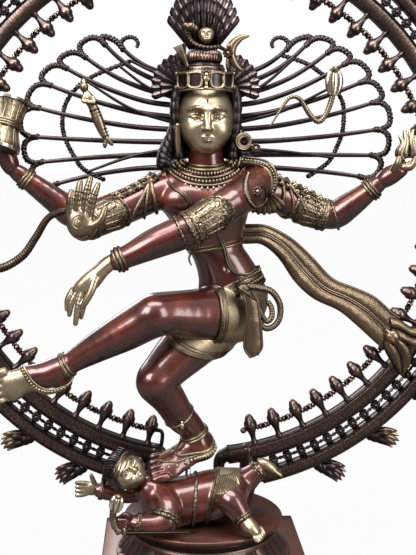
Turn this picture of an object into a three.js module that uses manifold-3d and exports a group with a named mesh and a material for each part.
// Cast brass Nataraja: a dancer with four arms on a small dwarf, inside an open ring of flames.
// Millimetres. +Z is up, the dancer faces -Y, +X is to the right of somebody facing the dancer.
// The origin is the centre of the plinth's lower face. "left" and "right" in names are -X and +X.
import * as THREE from 'three';
import Module from 'manifold-3d';
import { mergeVertices } from 'three/addons/utils/BufferGeometryUtils.js';

// ---- driving dimensions ----

const JOINT_GAP = 0.35; // between pieces that touch
const OVERLAP = 4; // how far parts of one casting run into each other
const SMALLEST_EDGE = 0.02; // shorter edges that a join or a cut leaves are closed up

const PLINTH = { width: 336, depth: 272, height: 72, wall: 7, top: 9, lip: 14 };
const PEDESTAL = { top: 134, rimX: 128, rimY: 112, footX: 142, wall: 8, deck: 9 };
const HOLLOW = { x: 88, y: 74 }; // half sizes of the opening between plinth and pedestal

const RING = {
  x: 0, y: 72, z: 635, // centre
  inner: 420, innerRail: 447, band: 469, outerRail: 491, flames: 536, // radii
  railDepth: 22, bandDepth: 10,
  string: 396, stringWidth: 5, finial: 372, // the beaded cord and the tips of the balusters
  start: 12, // degrees from straight down, where the ring stands on the pedestal
  balusterStep: 6, flameStep: 12, holeStep: 9,
};
const CREST_TOP = 1200;

const BRACKET_PLATE = 9;
const BOLT_X = 40;

// Joints of the dancer: [x, y, z, radius]
const BODY = {
  pelvis: [47, 2, 488, 50],
  belly: [40, -4, 530, 47],
  waist: [16, -3, 572, 44],
  ribs: [6, -4, 612, 55],
  chest: [0, -4, 642, 60],
  leftShoulder: [-62, 2, 664, 30],
  rightShoulder: [74, -2, 666, 30],
  neckBase: [6, -4, 690, 30],
  neckTop: [3, -8, 728, 24],
};
const FACE = { centre: [3, -14, 772], half: [42, 44, 58] };
const CROWN = { x: 3, y: -6, headbandLow: 820, headbandHigh: 852, drumLow: 862, drumHigh: 892 };
const FAN_TOP = 985;

const RAISED_LEG = [
  [42, -12, 466, 46],
  [-10, -58, 478, 37],
  [-76, -94, 482, 29],
  [-112, -92, 462, 27],
  [-160, -86, 432, 22],
  [-205, -80, 403, 14],
];
const RAISED_FOOT = [
  [-207, -80, 402, 19],
  [-236, -78, 378, 20],
  [-288, -88, 366, 15],
  [-334, -95, 357, 9],
];
const STANDING_LEG = [
  [22, 4, 452, 47],
  [-28, -26, 410, 38],
  [-78, -54, 366, 29],
  [-66, -44, 338, 29],
  [-40, -22, 298, 21],
  [-18, -6, 262, 14],
];
const STANDING_FOOT = [
  [-17, -6, 261, 18],
  [2, -6, 236, 17],
  [-30, -24, 227, 14],
  [-66, -42, 219, 10],
];

// The four arms, named by what their hands do
const DRUM_ARM = [
  [-66, 18, 668, 27],
  [-140, 24, 632, 22],
  [-214, 26, 622, 19],
  [-262, 20, 660, 18],
  [-308, 8, 696, 13],
];
const DRUM_HAND = [[-309, 8, 697, 16], [-318, 2, 718, 13], [-322, -4, 740, 13]];
const DRUM = { centre: [-318, -18, 764], height: 84, rim: 32, waist: 14, leanDegrees: 8 };
const BLESSING_ARM = [
  [-60, -4, 660, 25],
  [-120, -22, 632, 22],
  [-190, -46, 610, 20],
  [-190, -76, 612, 15],
];
const BLESSING_HAND = [
  [-190, -78, 612, 17], [-184, -106, 622, 21], [-178, -112, 650, 17], [-172, -114, 682, 9],
];
const POINTING_ARM = [
  [84, -18, 672, 29],
  [34, -80, 642, 25],
  [-28, -102, 612, 26],
  [-80, -108, 586, 20],
  [-130, -114, 564, 14],
];
const POINTING_HAND = [
  [-131, -114, 563, 17],
  [-160, -117, 545, 16],
  [-182, -118, 522, 15],
  [-190, -114, 488, 10],
  [-194, -110, 462, 6],
];
const FIRE_ARM = [
  [84, 18, 668, 27],
  [150, 24, 636, 22],
  [212, 26, 618, 20],
  [250, 16, 646, 18],
  [288, 5, 672, 13],
];
const FIRE_HAND = [[289, 5, 673, 16], [308, 2, 686, 15], [326, 0, 694, 11]];
const FIRE = { x: 330, y: 0, low: 703, high: 768, width: 34 };

// Things that hang on or wind round the dancer: [x, y, z]
const ARM_SNAKE = [
  [-196, -66, 640], [-240, -52, 620], [-272, -42, 565], [-318, -40, 540], [-356, -40, 552], [-372, -40, 606],
];
const HAIR_COBRA = [[-24, -42, 923], [-26, -30, 905], [-6, -36, 889], [18, -34, 894]];
const SACRED_THREAD = [
  [-44, -36, 686], [-34, -54, 664], [-14, -58, 636], [14, -54, 600],
  [34, -46, 556], [56, -48, 528], [84, -38, 524],
];
const LOCK_RODS = 11;
const LOCK_SCALLOP = 36;
const LOCKS_FRONT = 22;
const LOCKS_THICK = 9;
const LOCKS_LEFT = { // [x, z]
  roots: { from: [-36, 840], to: [-46, 690] },
  rim: [[-117, 858], [-176, 842], [-212, 812], [-226, 776], [-216, 740], [-190, 708], [-160, 686]],
};
const LOCKS_RIGHT = {
  roots: { from: [42, 840], to: [52, 690] },
  rim: [[126, 868], [188, 844], [228, 800], [234, 752], [220, 716], [198, 690], [172, 676]],
};
const MERMAID = [[-192, 16, 822], [-176, 14, 796], [-166, 14, 764], [-152, 16, 738]];
const LOCK_COBRA = [[208, 16, 820], [198, 17, 764], [170, 17, 772], [140, 17, 772], [112, 17, 748]];

// The flying sash, seen from the front: upper and lower edges as [x, z]
const SASH_EDGES = {
  upper: [[72, 600], [104, 600], [142, 578], [176, 548], [214, 510], [252, 494], [288, 476], [322, 446]],
  lower: [[304, 396], [252, 438], [226, 462], [188, 482], [158, 508], [126, 548], [100, 574], [70, 574]],
};
const SASH_TAIL = [[322, 446], [352, 432], [350, 352], [318, 350], [296, 384], [304, 396]];
const SASH_DEPTHS = { near: 14, thick: 14 }; // the tail lies flat against the front of the ring

// The dwarf lies face down with the head raised at -X
const DWARF = {
  neck: [-84, -50, 200, 20],
  chest: [-54, -42, 172, 37],
  waist: [0, -30, 170, 35],
  hips: [32, -26, 174, 37],
  nearKnee: [54, -66, 180, 20],
  nearFoot: [64, -90, 150, 13],
  farKnee: [76, -12, 188, 18],
  farFoot: [106, -8, 214, 12],
  nearElbow: [-62, -90, 164, 15],
  nearHand: [-122, -100, 162, 13],
  farElbow: [-120, -44, 182, 13],
  farHand: [-190, -48, 194, 12],
};
const DWARF_HEAD = { centre: [-111, -60, 236], half: [28, 28, 30] };
const DWARF_BLADE = { from: [-118, -118, 160], to: [-14, -112, 160], width: 6 };
const DWARF_COBRA = [[-128, -108, 152], [-142, -112, 172], [-138, -114, 194], [-128, -114, 206]];

// The bolt that holds the dwarf and the dancer's foot down on the pedestal
const STUD = { x: -26, y: -28, radius: 5, top: 218 };

const BROWN = { color: '#6b2c22', roughness: 0.3, metalness: 1 };
const GOLD = { color: '#bfa676', roughness: 0.35, metalness: 1 };
const DARK = { color: '#3d302d', roughness: 0.45, metalness: 1 };
const STEEL = { color: '#8f9296', roughness: 0.4, metalness: 1 };

// ---- solids ----

const wasm = await Module();
wasm.setup();

function solid(geometry) {
  geometry.deleteAttribute('normal');
  geometry.deleteAttribute('uv');
  const merged = mergeVertices(geometry, 1e-4);
  const index = merged.index.array;
  const triangles = [];
  for (let i = 0; i < index.length; i += 3) {
    const [a, b, c] = [index[i], index[i + 1], index[i + 2]];
    if (a !== b && b !== c && c !== a) triangles.push(a, b, c);
  }
  const vertProperties = new Float32Array(merged.attributes.position.array);
  const triVerts = new Uint32Array(triangles);
  return new wasm.Manifold(new wasm.Mesh({ numProp: 3, vertProperties, triVerts }));
}

function join(...pieces) {
  return pieces.flat().reduce((whole, piece) => whole.add(piece));
}

function cut(whole, ...tools) {
  return tools.flat().reduce((left, tool) => left.subtract(tool), whole);
}

function box([x0, y0, z0], [x1, y1, z1]) {
  const geometry = new THREE.BoxGeometry(x1 - x0, y1 - y0, z1 - z0);
  geometry.translate((x0 + x1) / 2, (y0 + y1) / 2, (z0 + z1) / 2);
  return solid(geometry);
}

function ball(centre, half, sides = 8) {
  const geometry = new THREE.SphereGeometry(1, sides, Math.ceil(sides * 0.75));
  geometry.rotateX(Math.PI / 2);
  geometry.scale(...half);
  geometry.translate(...centre);
  return solid(geometry);
}

// A straight round bar that may taper.
function bar(from, to, fromRadius, toRadius = fromRadius, sides = 8) {
  const start = new THREE.Vector3(...from.slice(0, 3));
  const end = new THREE.Vector3(...to.slice(0, 3));
  const direction = end.clone().sub(start);
  const geometry = new THREE.CylinderGeometry(toRadius, fromRadius, direction.length(), sides);
  const upright = new THREE.Vector3(0, 1, 0);
  geometry.applyQuaternion(new THREE.Quaternion().setFromUnitVectors(upright, direction.normalize()));
  const middle = start.add(end).multiplyScalar(0.5);
  geometry.translate(middle.x, middle.y, middle.z);
  return solid(geometry);
}

// A bent, tapering bar with blunt round ends; joints are [x, y, z, radius].
function limb(joints, grow = 0, sides = 8) {
  const points = joints.map(([x, y, z]) => new THREE.Vector3(x, y, z));
  const route = new THREE.CatmullRomCurve3(points, false, 'centripetal');
  const steps = 2 * (joints.length - 1);
  const rows = [];
  for (let i = 0; i <= steps; i += 1) {
    const [before, after] = [joints[Math.floor(i / 2)], joints[Math.ceil(i / 2)]];
    const radius = (before[3] + after[3]) / 2 + grow;
    rows.push({ centre: route.getPoint(i / steps), along: route.getTangent(i / steps), radius });
  }
  const blunt = 0.65; // the last ring of a round end, against the radius there
  const endRow = ({ centre, along, radius }, way) => ({
    centre: centre.clone().addScaledVector(along, way * blunt * radius),
    along,
    radius: blunt * radius,
  });
  rows.unshift(endRow(rows[0], -1));
  rows.push(endRow(rows.at(-1), 1));

  const across = new THREE.Vector3(0.3, 1, 0.2);
  for (const row of rows) {
    across.addScaledVector(row.along, -across.dot(row.along)).normalize();
    row.across = across.clone();
    row.around = row.along.clone().cross(across);
  }

  const geometry = new THREE.CylinderGeometry(1, 1, 1, sides, rows.length - 1);
  const places = geometry.getAttribute('position');
  for (let i = 0; i < places.count; i += 1) {
    const row = rows[Math.round((0.5 - places.getY(i)) * (rows.length - 1))];
    const place = row.centre.clone();
    place.addScaledVector(row.across, places.getX(i) * row.radius);
    place.addScaledVector(row.around, places.getZ(i) * row.radius);
    places.setXYZ(i, place.x, place.y, place.z);
  }
  return solid(geometry);
}

// A flat plate in the X-Z plane, between two depths; outlines are lists of [x, z].
function plate(outline, front, back, holes = []) {
  const points = (list) => list.map((p) => (p.isVector2 ? p : new THREE.Vector2(...p)));
  const edge = points(outline);
  if (THREE.ShapeUtils.isClockWise(edge)) edge.reverse();
  const shape = new THREE.Shape(edge);
  shape.holes = holes.map((hole) => new THREE.Path(points(hole)));
  const geometry = new THREE.ExtrudeGeometry(shape, { depth: back - front, bevelEnabled: false });
  geometry.rotateX(Math.PI / 2);
  geometry.translate(0, back, 0);
  return solid(geometry);
}

// A round cord along a smooth route.
function cord(route, radius, steps, grow = 0, sides = 6) {
  const section = new THREE.Shape();
  section.moveTo(radius + grow, 0);
  for (let i = 1; i < sides; i += 1) {
    const turn = (2 * Math.PI * i) / sides;
    section.lineTo((radius + grow) * Math.cos(turn), (radius + grow) * Math.sin(turn));
  }
  const extrudePath = new THREE.CatmullRomCurve3(route.map((p) => new THREE.Vector3(...p.slice(0, 3))));
  return solid(new THREE.ExtrudeGeometry(section, { steps, extrudePath, bevelEnabled: false }));
}

// A turned shape about an upright axis; the profile is [radius, z] pairs.
function turned(profile, [x, y], sides, depthRatio = 1) {
  const points = profile.map((p) => new THREE.Vector2(...p));
  if (THREE.ShapeUtils.area(points) < 0) points.reverse();
  const geometry = new THREE.LatheGeometry(points, sides);
  geometry.rotateX(Math.PI / 2);
  geometry.scale(1, depthRatio, 1);
  geometry.translate(x, y, 0);
  return solid(geometry);
}

// ---- base ----

function plinth() {
  const { width, depth, height, wall, top, lip } = PLINTH;
  const [x, y] = [width / 2, depth / 2];
  const inset = 8;
  const body = join(
    box([-x, -y, 0], [x, y, lip]),
    box([-x + inset, -y + inset, 0], [x - inset, y - inset, height]),
    box([-x + inset / 2, -y + inset / 2, height - lip], [x - inset / 2, y - inset / 2, height]),
  );
  const room = inset + wall;
  return cut(
    body,
    box([-x + room, -y + room, -1], [x - room, y - room, height - top]),
    box([-HOLLOW.x, -HOLLOW.y, height - top - 1], [HOLLOW.x, HOLLOW.y, height + 1]),
  );
}

function lotusPedestal() {
  const { top, rimX, rimY, footX, wall, deck } = PEDESTAL;
  const low = PLINTH.height + JOINT_GAP;
  const outside = [
    [0, top], [rimX, top], [rimX, top - 9], [rimX - 12, top - 13], [rimX - 12, top - 24],
    [footX - 4, low + 16], [footX, low + 8], [footX - 6, low],
  ];
  const inside = [
    [footX - 6 - 3 * wall, low], [footX - 6 - 3 * wall, low + 12],
    [rimX - 12 - wall, top - 24], [rimX - 12 - wall, top - deck], [0, top - deck],
  ];
  return turned([...outside, ...inside], [0, 0], 20, rimY / rimX);
}

function figureStud(grow = 0) {
  const { x, y, radius, top } = STUD;
  const foot = [x, y, PEDESTAL.top - PEDESTAL.deck - 16 - grow];
  return bar(foot, [x, y, top + grow], radius + grow, radius + grow, 6);
}

function studNut() {
  const { x, y, radius } = STUD;
  const top = PEDESTAL.top - PEDESTAL.deck - JOINT_GAP;
  return cut(
    bar([x, y, top - 10], [x, y, top], 2 * radius, 2 * radius, 6),
    bar([x, y, top - 20], [x, y, top + 10], radius + JOINT_GAP, radius + JOINT_GAP, 6),
  );
}

// One casting that stands on the back of the pedestal and closes both ends of the ring.
function ringBracket() {
  const low = PEDESTAL.top + JOINT_GAP;
  const { y, inner, outerRail, railDepth, start } = RING;
  const clear = THREE.MathUtils.radToDeg(JOINT_GAP / inner);
  const ringEnd = (side) => plate([
    onRing(side, inner, start - 3),
    onRing(side, inner, start - clear),
    onRing(side, outerRail, start - clear),
    [side * 96, low],
    [side * 58, low],
    onRing(side, outerRail - 30, start - 3),
  ], y - railDepth / 2, y + railDepth / 2);
  return join(box([-80, y - 10, low], [80, y + 10, low + BRACKET_PLATE]), ringEnd(-1), ringEnd(1));
}

function ringBolt(side, grow = 0) {
  const x = side * BOLT_X;
  const low = PEDESTAL.top - PEDESTAL.deck - 8;
  const seat = PEDESTAL.top + BRACKET_PLATE + 2 * JOINT_GAP;
  return join(
    bar([x, RING.y, low - grow], [x, RING.y, seat + 2], 4 + grow, 4 + grow, 6),
    bar([x, RING.y, seat - grow], [x, RING.y, seat + 7], 8 + grow, 8 + grow, 6),
  );
}

// ---- ring ----

function onRing(side, radius, degrees) {
  const angle = THREE.MathUtils.degToRad(degrees);
  return [RING.x + side * radius * Math.sin(angle), RING.z - radius * Math.cos(angle)];
}

// Half of a flat ring; side -1 is the left half.
function halfBand(side, innerRadius, outerRadius, depth, start = RING.start, step = 4) {
  const end = 180 - THREE.MathUtils.radToDeg(JOINT_GAP / 2 / innerRadius);
  const count = Math.round((end - start) / step);
  const inner = [];
  const outer = [];
  for (let i = 0; i <= count; i += 1) {
    const degrees = start + ((end - start) * i) / count;
    inner.push(onRing(side, innerRadius, degrees));
    outer.unshift(onRing(side, outerRadius, degrees));
  }
  return plate([...inner, ...outer], RING.y - depth / 2, RING.y + depth / 2);
}

function innerRail(side) {
  return halfBand(side, RING.inner, RING.innerRail, RING.railDepth);
}

// A flame is a hand of pointed tongues on a stalk, leaning along the ring.
function flame(side, degrees) {
  const root = RING.outerRail - OVERLAP;
  const tip = RING.flames;
  const outline = [
    onRing(side, root, degrees - 0.9),
    onRing(side, root + 18, degrees - 1.2),
    onRing(side, tip - 16, degrees - 2.6),
    onRing(side, tip, degrees - 0.4),
    onRing(side, tip - 6, degrees + 1.4),
    onRing(side, tip - 20, degrees + 2.6),
    onRing(side, root + 16, degrees + 1),
    onRing(side, root, degrees + 0.9),
  ];
  return plate(outline, RING.y - 5, RING.y + 5);
}

function outerRail(side) {
  const pieces = [halfBand(side, RING.band, RING.outerRail, RING.railDepth)];
  for (let degrees = 2 * RING.flameStep; degrees < 178; degrees += RING.flameStep) {
    pieces.push(flame(side, degrees));
  }
  return join(pieces);
}

// The pierced band between the rails.
function lattice(side) {
  const [low, high] = [RING.innerRail + JOINT_GAP, RING.band - JOINT_GAP];
  const middle = (low + high) / 2;
  const holes = [];
  for (let degrees = RING.start + 3; degrees < 178; degrees += RING.holeStep) {
    const outline = [
      onRing(side, middle, degrees - 1.1),
      onRing(side, middle + 6, degrees),
      onRing(side, middle, degrees + 1.1),
      onRing(side, middle - 6, degrees),
    ];
    holes.push(plate(outline, RING.y - 20, RING.y + 20));
  }
  return cut(halfBand(side, low, high, RING.bandDepth), holes);
}

// A row of lotus drops that point inwards from the rail, tied together by a beaded string.
function balusters(side) {
  const rail = RING.inner - JOINT_GAP - 0.6;
  const { string, stringWidth, finial, start, balusterStep, y } = RING;
  const inside = [onRing(side, string - stringWidth, start - 1)];
  const outside = [onRing(side, string, start - 1)];
  for (let degrees = start; degrees < 178; degrees += balusterStep) {
    inside.push(
      onRing(side, string - stringWidth, degrees - 0.7),
      onRing(side, finial, degrees),
      onRing(side, string - stringWidth, degrees + 0.7),
    );
    outside.push(
      onRing(side, string, degrees - 0.6),
      onRing(side, rail, degrees - 1.2),
      onRing(side, rail, degrees + 1.2),
      onRing(side, string, degrees + 0.6),
    );
  }
  const end = 180 - THREE.MathUtils.radToDeg(JOINT_GAP / 2 / finial);
  const outline = [
    ...inside, onRing(side, string - stringWidth, end), onRing(side, string, end), ...outside.reverse(),
  ];
  return plate(outline, y - 6, y + 6);
}

function ringCrest() {
  const low = RING.z + RING.outerRail + JOINT_GAP;
  const half = 44;
  const outline = [
    [-half, low + 8], [-half - 8, low + 40], [-half + 12, low + 30], [-16, CREST_TOP - 22], [0, CREST_TOP],
    [16, CREST_TOP - 22], [half - 12, low + 30], [half + 8, low + 40],
    [half, low + 8], [20, low], [-20, low],
  ].map(([x, z]) => [x + RING.x, z]);
  return plate(outline, RING.y - 12, RING.y + 12);
}

// ---- dancer's head ----

function head(grow = 0) {
  return ball(FACE.centre, FACE.half.map((half) => half + grow), 12);
}

// The headband covers only the brow, from one side lock to the other.
function diadem() {
  const { x, y, headbandLow, headbandHigh } = CROWN;
  const band = [
    [30, headbandLow], [50, headbandLow], [52, headbandHigh], [30, headbandHigh], [30, headbandLow],
  ];
  return cut(turned(band, [x, y], 16), box([-80, y - 4, headbandLow - 9], [80, 80, headbandHigh + 9]));
}

function hairCrown(grow = 0) {
  const { x, y, headbandHigh, drumLow, drumHigh } = CROWN;
  const profile = [
    [0, headbandHigh - 26], [29 + grow, headbandHigh - 26],
    [32 + grow, headbandHigh + 2], [31 + grow, drumLow - 2],
    [26 + grow, drumLow], [29 + grow, drumLow + 4], [30 + grow, drumHigh + grow], [0, drumHigh + grow],
  ];
  return turned(profile, [x, y], 12);
}

// A pleated fan: a half-round leaf whose edge is scalloped.
function pleatedFan(centre, radius, fromDegrees, toDegrees, pleats, front, back) {
  const outline = [[...centre]];
  for (let i = 0; i <= 2 * pleats; i += 1) {
    const angle = THREE.MathUtils.degToRad(fromDegrees + ((toDegrees - fromDegrees) * i) / (2 * pleats));
    const reach = i % 2 ? radius : radius * 0.93;
    outline.push([centre[0] + reach * Math.cos(angle), centre[1] + reach * Math.sin(angle)]);
  }
  return plate(outline, front, back);
}

function featherFan() {
  const low = CROWN.drumHigh + JOINT_GAP;
  const outline = [
    [-20, low], [-30, low + 36], [-44, low + 62], [-36, low + 78], [-22, low + 84], [-8, FAN_TOP - 2],
    [5, FAN_TOP], [18, FAN_TOP - 2], [32, low + 84],
    [46, low + 78], [62, low + 52], [50, low + 34], [27, low],
  ];
  return plate(outline, -24, 4);
}

function hairSkull(grow = 0) {
  return ball([3, -34, 912], [13 + grow, 13 + grow, 14 + grow]);
}

function hairCobra() {
  const [hood] = HAIR_COBRA;
  return join(cord(HAIR_COBRA, 4, 10, 0, 5), ball(hood, [9, 5, 8], 6));
}

// A thin crescent with its horns turned up and outwards.
function crescentMoon() {
  const centre = [54, 888];
  const [radius, bite, steps] = [25, 20, 8];
  const outer = [];
  const inner = [];
  for (let i = 0; i <= steps; i += 1) {
    const angle = THREE.MathUtils.degToRad(115 + (250 * i) / steps);
    const [across, up] = [Math.cos(angle), Math.sin(angle)];
    outer.push([centre[0] + radius * across, centre[1] + radius * up]);
    if (i > 0 && i < steps) inner.unshift([centre[0] + 5 + bite * across, centre[1] + 2 + bite * up]);
  }
  return join(plate([...outer, ...inner], -36, -26), bar([24, -26, 876], [50, -31, 880], 5, 5, 6));
}

function daturaFlower() {
  return join(
    bar([-31, -26, 860], [-44, -28, 892], 5, 12, 8),
    bar([-33, -26, 866], [-16, -16, 866], 4, 4, 6),
  );
}

// The hair that hangs beside the face.
function sideLock(side, grow = 0) {
  const x = FACE.centre[0] + side * 50;
  const joints = [
    [x - side * 4, -2, 824, 14], [x, 0, 780, 13], [x + side * 2, 2, 740, 12], [x + side * 6, 2, 708, 10],
  ];
  return limb(joints, grow, 6);
}

// The side lock with the small pleated fan that stands out above it.
function sideHair(side) {
  const centre = [FACE.centre[0] + side * 40, 828];
  const [from, to] = side < 0 ? [95, 215] : [85, -35];
  return join(sideLock(side), pleatedFan(centre, 46, from, to, 5, -2, 9));
}

function earDropLeft() {
  const drop = bar([-52, -22, 762], [-52, -22, 718], 6, 9, 6);
  return join(drop, bar([-52, -22, 740], [-50, -8, 740], 4, 4, 6));
}

function earRingRight() {
  const wheel = cut(
    bar([62, -26, 738], [62, -18, 738], 14, 14, 12),
    bar([62, -30, 738], [62, -10, 738], 8, 8, 12),
  );
  const hub = bar([80, -24, 728], [80, -18, 728], 9, 9, 8);
  return join(wheel, hub, bar([70, -20, 734], [80, -20, 730], 3, 3, 6));
}

// The flying locks: a flat pierced fan, with strands from behind the head to a curved rim and
// scallops outside the rim.
function flyingLocks({ roots, rim }) {
  const flat = ([x, z]) => new THREE.Vector2(x, z);
  const rimCurve = new THREE.SplineCurve(rim.map(flat));
  const [first, last] = [flat(roots.from), flat(roots.to)];
  const centre = first.clone().lerp(last, 0.35);
  const strand = 3.2; // half the width of a strand
  const rootEdge = strand / first.distanceTo(last);
  const rimEdge = strand / rimCurve.getLength();

  const rimAt = (share, distance = 0) => {
    const point = rimCurve.getPointAt(share);
    const outward = point.clone().sub(centre).normalize();
    return point.addScaledVector(outward, distance);
  };
  const rootAt = (share) => first.clone().lerp(last, share).lerp(rimAt(share), 0.06);

  const outline = [first];
  const holes = [];
  for (let i = 1; i < LOCK_RODS; i += 1) {
    const [before, after] = [(i - 1) / (LOCK_RODS - 1), i / (LOCK_RODS - 1)];
    const middle = (before + after) / 2;
    outline.push(rimAt(before), rimAt(middle, LOCK_SCALLOP));
    holes.push([
      rootAt(before + rootEdge),
      rimAt(before + rimEdge, -strand),
      rimAt(after - rimEdge, -strand),
      rootAt(after - rootEdge),
    ]);
    holes.push([
      rimAt(before + rimEdge, strand),
      rimAt(middle, LOCK_SCALLOP - 3 * strand),
      rimAt(after - rimEdge, strand),
    ]);
  }
  return plate([...outline, rimAt(1), last], LOCKS_FRONT, LOCKS_FRONT + LOCKS_THICK, holes);
}

function mermaid() {
  const radii = [7, 9, 7, 4];
  return join(
    limb(MERMAID.map((point, i) => [...point, radii[i]]), 0, 6),
    plate([[-156, 742], [-150, 728], [-136, 734], [-140, 744]], 8, 14),
  );
}

function lockCobra() {
  const [hood] = LOCK_COBRA;
  return join(cord(LOCK_COBRA, 4.5, 14, 0, 5), ball(hood, [14, 6, 20], 6));
}

// ---- dancer's trunk ----

function torso(grow = 0) {
  const { pelvis, belly, waist, ribs, chest, leftShoulder, rightShoulder, neckBase, neckTop } = BODY;
  const trunk = join(
    limb([pelvis, belly, waist, ribs, chest], grow, 12),
    limb([leftShoulder, chest], grow, 8),
    limb([rightShoulder, chest], grow, 8),
  );
  const [x, y, z] = chest;
  const depth = 0.86; // the trunk is flatter than it is wide
  const flattened = trunk.translate([-x, -y, -z]).scale([1, depth, 1]).translate([x, y, z]);
  return flattened.add(limb([neckBase, neckTop], grow, 10));
}

function necklace() {
  const [x, y] = [4, -8];
  return turned(
    [[24, 690], [46, 676], [66, 652], [70, 656], [50, 682], [30, 702], [24, 690]],
    [x, y], 12, 0.92,
  );
}

function bellyBand() {
  const { waist, ribs } = BODY;
  const band = bar([13, -3, 578], [10, -3, 592], waist[3] + 8, ribs[3] - 2, 12);
  return band.translate([-12, 3, 0]).scale([1, 0.9, 1]).translate([12, -3, 0]);
}

function sacredThread(grow = 0) {
  return cord(SACRED_THREAD, 4, 18, grow, 5);
}

// ---- arms ----

function drum() {
  const { centre, height, rim, waist } = DRUM;
  const [x, y, z] = centre;
  const lean = Math.sin(THREE.MathUtils.degToRad(DRUM.leanDegrees)) * (height / 2);
  const low = [x + lean, y, z - height / 2];
  const high = [x - lean, y, z + height / 2];
  return join(bar(low, centre, rim, waist, 12), bar(centre, high, waist, rim, 12));
}

function fireFlame() {
  const { x, y, low, high, width } = FIRE;
  const half = width / 2;
  const outline = [
    [x - half * 0.6, low], [x - half, low + 22], [x - half * 0.5, low + 38], [x, high],
    [x + half * 0.5, low + 38], [x + half, low + 22], [x + half * 0.6, low],
  ];
  return join(plate(outline, y - 8, y + 8), bar([x, y, low - 3], [x, y, low + 8], 12, 18, 8));
}

function armSnake() {
  const hood = ARM_SNAKE.at(-1);
  return join(cord(ARM_SNAKE, 7, 18), ball(hood, [16, 8, 20], 6));
}

// ---- dress and legs ----

function shorts(grow = 0) {
  const lift = 3 + grow;
  const thicker = (joints) => joints.map(([x, y, z, radius]) => [x, y, z, radius + lift]);
  const [raisedTop, raisedMiddle] = RAISED_LEG;
  const [standingTop, standingMiddle] = STANDING_LEG;
  const between = (from, to, part) => from.slice(0, 3).map((v, i) => v + (to[i] - v) * part);
  const share = (from, to, part, radius) => between(from, to, part).concat(radius);
  return join(
    limb(thicker([BODY.pelvis, raisedTop, share(raisedTop, raisedMiddle, 0.35, 43)]), 0, 10),
    limb(thicker([standingTop, share(standingTop, standingMiddle, 0.8, 40)]), 0, 10),
  );
}

function waistScarf() {
  const loop = [[66, -46, 500], [104, -44, 488], [124, -42, 466], [118, -44, 444], [98, -48, 438]];
  const tail = [[68, 494], [96, 476], [100, 440], [98, 400], [84, 390], [70, 402], [68, 440]];
  return join(cord(loop, 10, 14), plate(tail, -64, -50), bar([82, -58, 484], [84, -44, 484], 14, 14, 8));
}

function flyingSash() {
  const { near, thick } = SASH_DEPTHS;
  const far = RING.y - RING.railDepth / 2 - JOINT_GAP;
  const { upper, lower } = SASH_EDGES;
  const bend = 4; // the sash swings back here, after this many points of each edge
  const first = [...upper.slice(0, bend), ...lower.slice(-bend)];
  const second = [...upper.slice(bend - 1), ...lower.slice(0, -bend + 1)];
  return join(
    plate(first, near - thick / 2, near + thick / 2 + OVERLAP),
    plate(second, near + OVERLAP / 2, far - thick / 2),
    plate(SASH_TAIL, far - thick, far),
  );
}

// ---- dwarf ----

function dwarfBody(grow = 0) {
  const d = DWARF;
  return join(
    limb([d.neck, d.chest, d.waist, d.hips], grow, 10),
    limb([d.hips, d.nearKnee, d.nearFoot], grow),
    limb([d.hips, d.farKnee, d.farFoot], grow),
    limb([d.chest, d.nearElbow, d.nearHand], grow),
    limb([d.chest, d.farElbow, d.farHand], grow),
  );
}

function dwarfHead(grow = 0) {
  return ball(DWARF_HEAD.centre, DWARF_HEAD.half.map((half) => half + grow), 10);
}

function dwarfShorts() {
  const { hips, waist } = DWARF;
  const middle = waist.slice(0, 3).map((v, i) => v + (hips[i] - v) * 0.5);
  return limb([[...middle, waist[3] + 3], [...hips.slice(0, 3), hips[3] + 3]], 0, 10);
}

function dwarfBlade() {
  const { from, to, width } = DWARF_BLADE;
  const [x, y, z] = [from[0] + 4, from[1], from[2]];
  return join(bar(from, to, width, 2, 4), bar([x, y, z - 12], [x, y, z + 12], 4, 4, 6));
}

function dwarfCobra() {
  return join(cord(DWARF_COBRA, 4, 8, 0, 5), ball(DWARF_COBRA.at(-1), [9, 6, 10], 6));
}

// ---- assembly ----

const statue = new THREE.Group();

// Adds one piece, trimmed to clear the grown neighbours that it would touch.
function add(name, finish, body, ...neighbours) {
  const trimmed = cut(body, ...neighbours);
  const bodies = trimmed.decompose().sort((a, b) => b.volume() - a.volume());
  const { vertProperties, triVerts } = bodies[0].setTolerance(SMALLEST_EDGE).getMesh();
  const geometry = new THREE.BufferGeometry();
  geometry.setAttribute('position', new THREE.BufferAttribute(vertProperties, 3));
  geometry.setIndex(new THREE.BufferAttribute(triVerts, 1));
  geometry.computeVertexNormals();
  const mesh = new THREE.Mesh(geometry, new THREE.MeshStandardMaterial(finish));
  mesh.name = name;
  statue.add(mesh);
}

const gap = JOINT_GAP;
const drumArm = (grow = 0) => limb(DRUM_ARM, grow);
const drumHand = (grow = 0) => limb(DRUM_HAND, grow, 6);
const blessingArm = (grow = 0) => limb(BLESSING_ARM, grow);
const blessingHand = (grow = 0) => limb(BLESSING_HAND, grow, 6);
const pointingArm = (grow = 0) => limb(POINTING_ARM, grow);
const pointingHand = () => limb(POINTING_HAND, 0, 6);
const fireArm = (grow = 0) => limb(FIRE_ARM, grow);
const fireHand = (grow = 0) => limb(FIRE_HAND, grow, 6);
const raisedLeg = (grow = 0) => limb(RAISED_LEG, grow);
const raisedFoot = () => limb(RAISED_FOOT, 0, 6);
const standingLeg = (grow = 0) => limb(STANDING_LEG, grow);
const standingFoot = () => limb(STANDING_FOOT);

add('plinth', BROWN, plinth());
add('lotus_pedestal', DARK, lotusPedestal(), figureStud(gap), ringBolt(-1, gap), ringBolt(1, gap));
add('figure_stud', STEEL, figureStud());
add('stud_nut', STEEL, studNut());
add('ring_bolt_left', STEEL, ringBolt(-1));
add('ring_bolt_right', STEEL, ringBolt(1));

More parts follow.
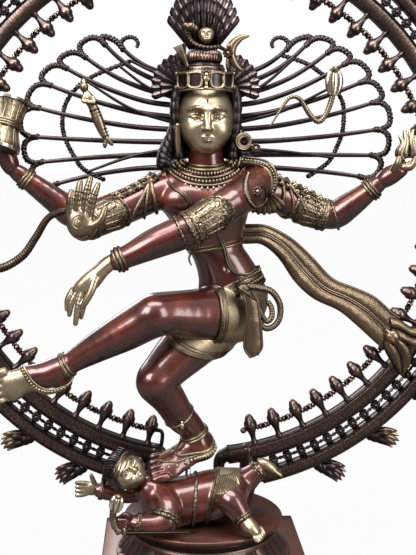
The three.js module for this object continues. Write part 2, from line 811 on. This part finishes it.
add('ring_bracket', DARK, ringBracket(), ringBolt(-1, gap), ringBolt(1, gap));
add('inner_rail_left', DARK, innerRail(-1));
add('inner_rail_right', DARK, innerRail(1));
add('outer_rail_left', DARK, outerRail(-1));
add('outer_rail_right', DARK, outerRail(1));
add('lattice_left', DARK, lattice(-1));
add('lattice_right', DARK, lattice(1));
add('balusters_left', DARK, balusters(-1));
add('balusters_right', DARK, balusters(1));
add('ring_crest', DARK, ringCrest());

add('shorts', GOLD, shorts());
add('torso', BROWN, torso(), shorts(gap));
add('head', GOLD, head(), torso(gap));
add('hair_crown', DARK, hairCrown(), head(gap));
add('side_hair_left', DARK, sideHair(-1), head(gap), torso(gap), hairCrown(gap));
add('side_hair_right', DARK, sideHair(1), head(gap), torso(gap), hairCrown(gap));
add('diadem', GOLD, diadem(), head(gap), hairCrown(gap), sideLock(-1, gap), sideLock(1, gap));
add('feather_fan', DARK, featherFan(), hairSkull(gap));
add('hair_skull', GOLD, hairSkull());
add('hair_cobra', DARK, hairCobra(), hairSkull(gap), hairCrown(gap), featherFan());
add('crescent_moon', DARK, crescentMoon(), hairCrown(gap));
add('datura_flower', DARK, daturaFlower(), hairCrown(gap), head(gap));
add('ear_drop_left', DARK, earDropLeft(), sideLock(-1, gap), head(gap));
add('ear_ring_right', DARK, earRingRight(), sideLock(1, gap), head(gap));
add('locks_left', DARK, flyingLocks(LOCKS_LEFT), head(gap), sideLock(-1, gap), torso(gap), drumArm(gap));
add('locks_right', DARK, flyingLocks(LOCKS_RIGHT), head(gap), sideLock(1, gap), torso(gap), fireArm(gap));
const behindLocks = box([-300, LOCKS_FRONT - gap, 600], [300, LOCKS_FRONT + 60, 1000]);
add('mermaid', GOLD, mermaid(), behindLocks);
add('lock_cobra', GOLD, lockCobra(), behindLocks, sideLock(1, gap));

add('sacred_thread', BROWN, sacredThread(), torso(gap), shorts(gap));
add('belly_band', GOLD, bellyBand(), torso(gap), sacredThread(gap));
add('drum_arm', BROWN, drumArm(), torso(gap));
add('blessing_arm', BROWN, blessingArm(), torso(gap), drumArm(gap));
add('fire_arm', BROWN, fireArm(), torso(gap));
add('pointing_arm', BROWN, pointingArm(), torso(gap), fireArm(gap), sacredThread(gap));
const arms = [drumArm(gap), blessingArm(gap), fireArm(gap), pointingArm(gap)];
const sideLocks = [sideLock(-1, gap), sideLock(1, gap)];
add('necklace', GOLD, necklace(), torso(gap), sacredThread(gap), arms, sideLocks);
add('drum_hand', GOLD, drumHand(), drumArm(gap));
add('drum', GOLD, drum(), drumHand(gap));
add('blessing_hand', GOLD, blessingHand(), blessingArm(gap));
add('arm_snake', DARK, armSnake(), blessingArm(gap), blessingHand(gap), drumArm(gap));
add('pointing_hand', GOLD, pointingHand(), pointingArm(gap));
add('fire_hand', GOLD, fireHand(), fireArm(gap));
add('fire_flame', GOLD, fireFlame(), fireHand(gap));

add('flying_sash', DARK, flyingSash(), torso(gap), shorts(gap));
add('waist_scarf', GOLD, waistScarf(), torso(gap), shorts(gap), shorts(), sacredThread(gap));
add('raised_leg', BROWN, raisedLeg(), torso(2 * gap), shorts(gap));
add('raised_foot', GOLD, raisedFoot(), raisedLeg(gap));
add('standing_leg', BROWN, standingLeg(), shorts(gap), torso(gap), raisedLeg(gap));
const deckLevel = PEDESTAL.top + gap;
const pedestalSpace = box([-200, -136, deckLevel - 90], [200, 136, deckLevel]);
add('dwarf_body', BROWN, dwarfBody(), figureStud(gap), pedestalSpace);
add('standing_foot', BROWN, standingFoot(), standingLeg(gap), dwarfBody(gap), figureStud(gap));
add('dwarf_shorts', GOLD, dwarfShorts(), dwarfBody(gap), pedestalSpace);
add('dwarf_head', GOLD, dwarfHead(), dwarfBody(gap));
add('dwarf_blade', GOLD, dwarfBlade(), dwarfBody(gap));
add('dwarf_cobra', GOLD, dwarfCobra(), dwarfBody(gap));

export default statue;
